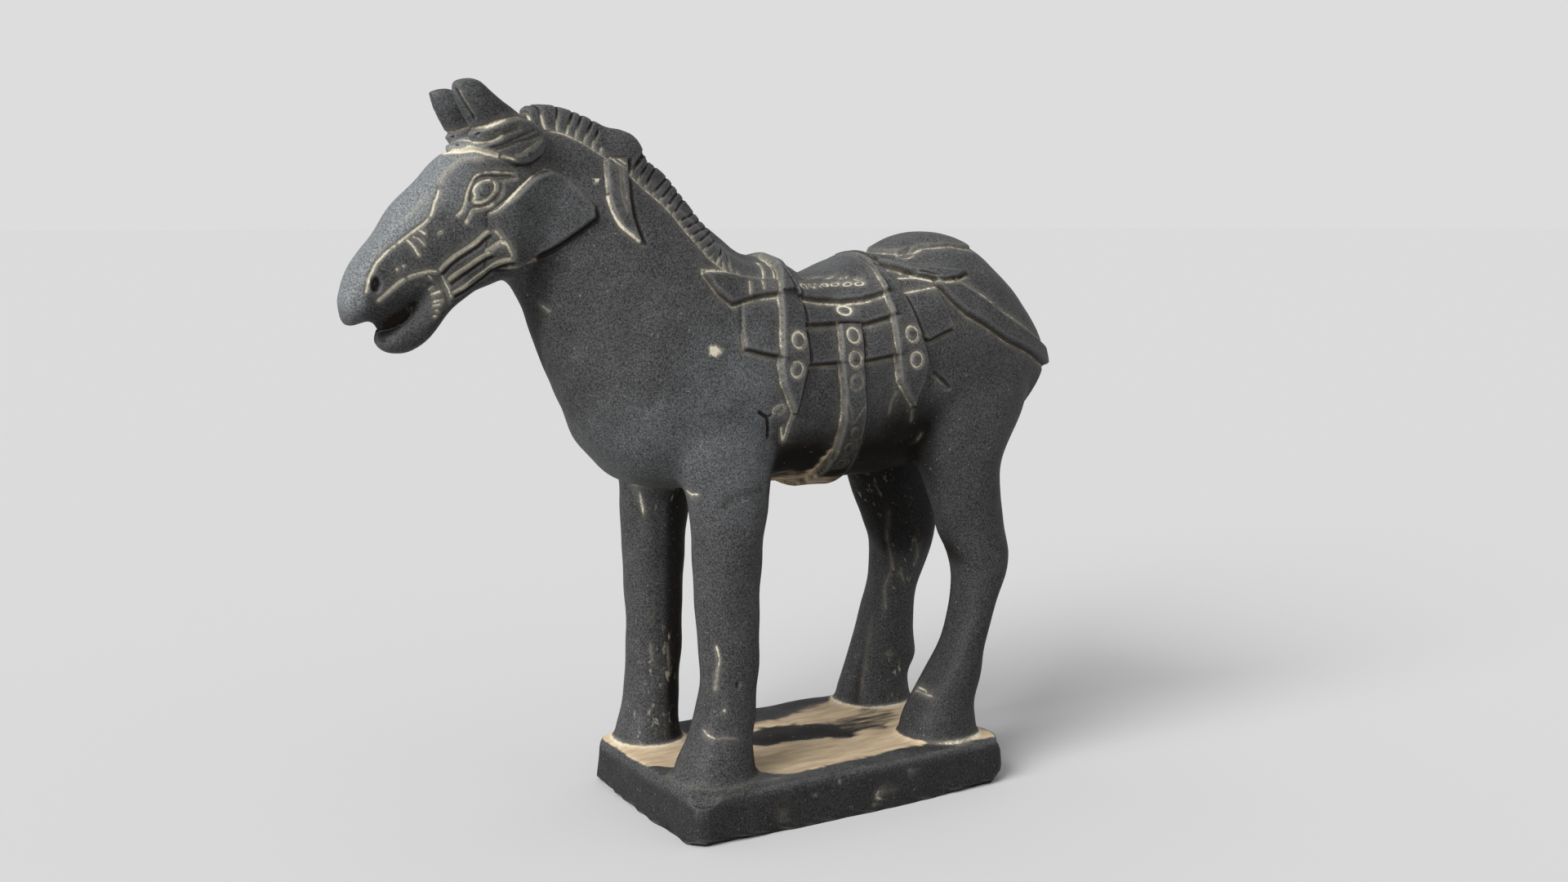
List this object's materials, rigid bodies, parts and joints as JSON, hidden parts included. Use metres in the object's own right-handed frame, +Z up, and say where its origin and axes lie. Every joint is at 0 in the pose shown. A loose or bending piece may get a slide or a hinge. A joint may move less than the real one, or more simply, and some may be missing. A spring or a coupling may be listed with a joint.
{
  "type": "horse statuette",
  "caption": "Smoke-fired clay horse with bridle, saddle and straps in relief, standing on its own oblong plinth.",
  "frame": {"origin": "on the plinth's underside, below the middle plane of the horse", "axes": "+Z up, the horse faces -X, its left side is at -Y"},
  "size_m": [0.3041, 0.0964, 0.2814],
  "materials": {
    "fired_clay": "matte"
  },
  "bodies": {
    "root": {"terracotta_horse": "fired_clay"}
  },
  "joints": []
}
